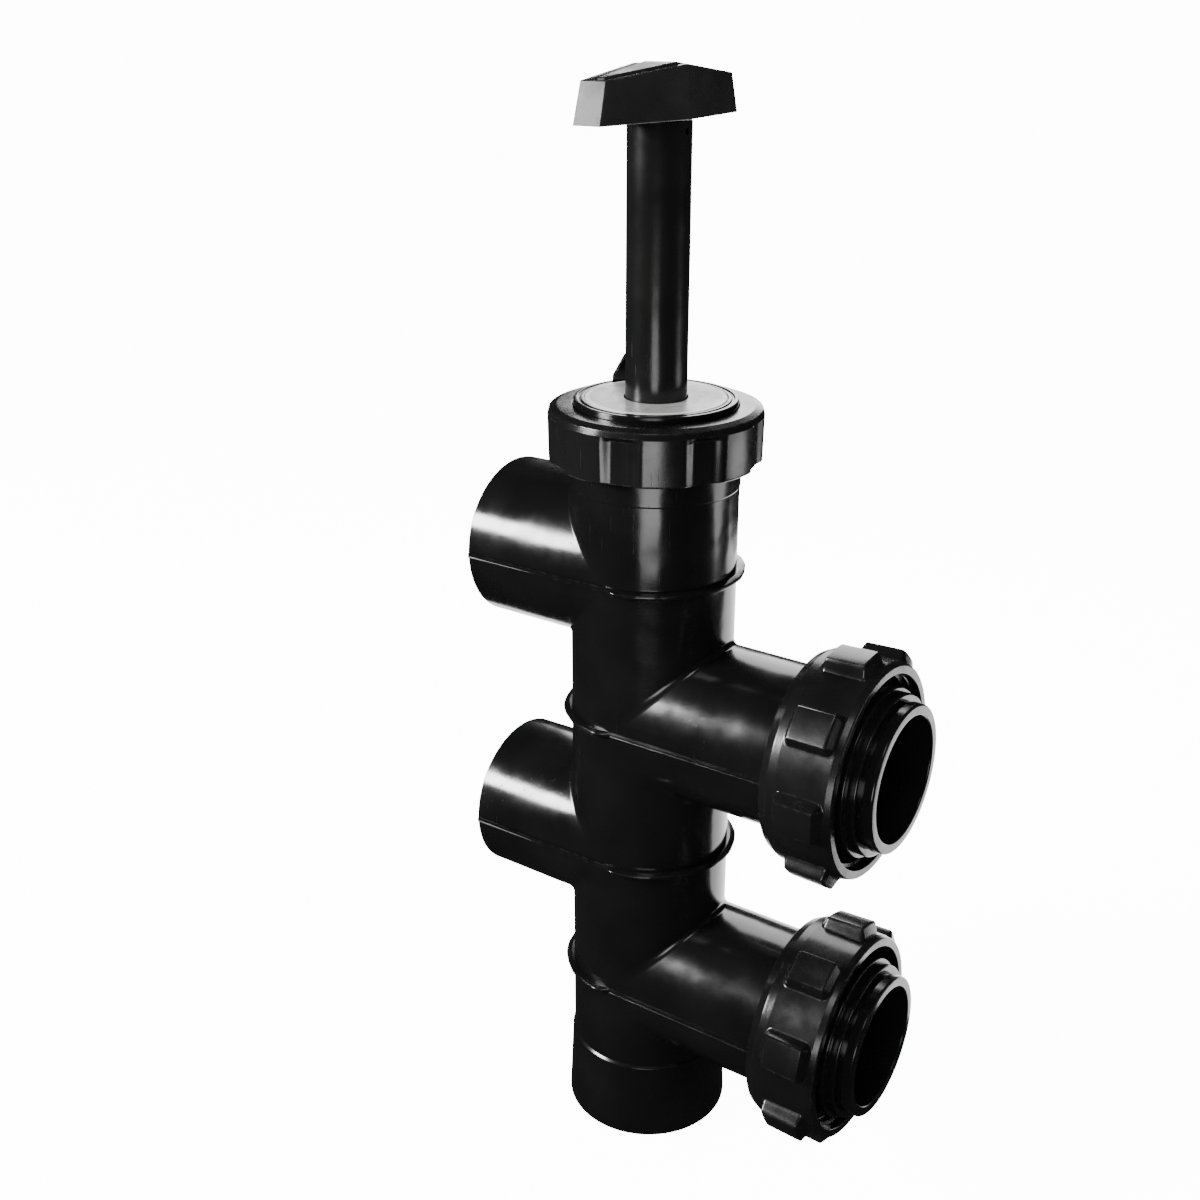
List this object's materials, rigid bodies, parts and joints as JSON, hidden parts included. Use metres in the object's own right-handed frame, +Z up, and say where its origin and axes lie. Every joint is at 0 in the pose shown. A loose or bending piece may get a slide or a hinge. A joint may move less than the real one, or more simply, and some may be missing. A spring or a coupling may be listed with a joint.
{
  "type": "push-pull slide valve",
  "caption": "Push-pull slide valve: an upright plastic column with side sockets, union couplings and a bottom socket, worked by a bar handle on a sliding shaft.",
  "frame": {"origin": "middle of the bounding box seen from above, at the height of the bottom socket's rim", "axes": "+Z up along the column and the shaft, +X outwards along the union ports, +Y away from the viewer along the bar handle"},
  "size_m": [0.2252, 0.1184, 0.5525],
  "materials": {
    "black_plastic": "glossy black moulded plastic",
    "handle_plastic": "glossy dark grey moulded plastic",
    "piston_plastic": "off-white moulded plastic",
    "label": "plain grey label",
    "seal_rubber": "greased black rubber",
    "stainless_steel": "plain stainless steel"
  },
  "bodies": {
    "valve_body": {"body_top_section": "black_plastic", "body_upper_section": "black_plastic", "body_middle_section": "black_plastic", "body_lower_section": "black_plastic", "body_foot_section": "black_plastic", "upper_union_sleeve": "black_plastic", "upper_union_oring": "seal_rubber", "lower_union_sleeve": "black_plastic", "lower_union_oring": "seal_rubber"},
    "bonnet": {"bonnet": "black_plastic", "label_disc": "label", "bonnet_oring": "seal_rubber", "lower_stem_oring": "seal_rubber", "upper_stem_oring": "seal_rubber"},
    "cap_nut": {"cap_nut": "black_plastic"},
    "pistons": {"upper_piston": "piston_plastic", "upper_piston_oring_top": "seal_rubber", "upper_piston_oring_bottom": "seal_rubber", "lower_piston": "piston_plastic", "lower_piston_oring_top": "seal_rubber", "lower_piston_oring_bottom": "seal_rubber", "piston_spacer": "piston_plastic"},
    "stem": {"shaft": "black_plastic", "handle": "handle_plastic", "handle_cap": "handle_plastic", "handle_screw": "stainless_steel", "end_washer": "stainless_steel", "end_nut": "stainless_steel"},
    "upper_nut": {"upper_union_nut": "black_plastic"},
    "lower_nut": {"lower_union_nut": "black_plastic"},
    "upper_tail": {"upper_union_tail": "black_plastic"},
    "lower_tail": {"lower_union_tail": "black_plastic"}
  },
  "joints": [
    {"name": "handle_slide", "type": "slide", "parent": "valve_body", "child": "pistons", "axis": [0, 0, 1], "range_m": [-0.0762, 0]},
    {"name": "handle_twist", "type": "hinge", "parent": "pistons", "child": "stem", "pos_m": [-0.02735, 0, 0.5282], "axis": [0, 0, 1], "continuous": true},
    {"name": "cap_nut_turn", "type": "hinge", "parent": "bonnet", "child": "cap_nut", "pos_m": [-0.02735, 0, 0.387], "axis": [0, 0, 1], "range_deg": [0, 1440]},
    {"name": "bonnet_lift", "type": "slide", "parent": "valve_body", "child": "bonnet", "axis": [0, 0, 1], "range_m": [0, 0.016]},
    {"name": "upper_nut_turn", "type": "hinge", "parent": "valve_body", "child": "upper_nut", "pos_m": [0.08, 0, 0.2418], "axis": [1, 0, 0], "range_deg": [-1800, 0]},
    {"name": "upper_tail_slide", "type": "slide", "parent": "valve_body", "child": "upper_tail", "axis": [1, 0, 0], "range_m": [0, 0.02]},
    {"name": "lower_nut_turn", "type": "hinge", "parent": "valve_body", "child": "lower_nut", "pos_m": [0.08, 0, 0.0894], "axis": [1, 0, 0], "range_deg": [-1800, 0]},
    {"name": "lower_tail_slide", "type": "slide", "parent": "valve_body", "child": "lower_tail", "axis": [1, 0, 0], "range_m": [0, 0.02]}
  ],
  "couplings": [
    {"joint": "bonnet_lift", "follows": "cap_nut_turn", "m_per_rad": 0.00063661},
    {"joint": "upper_tail_slide", "follows": "upper_nut_turn", "m_per_rad": -0.00063661},
    {"joint": "lower_tail_slide", "follows": "lower_nut_turn", "m_per_rad": -0.00063661}
  ]
}
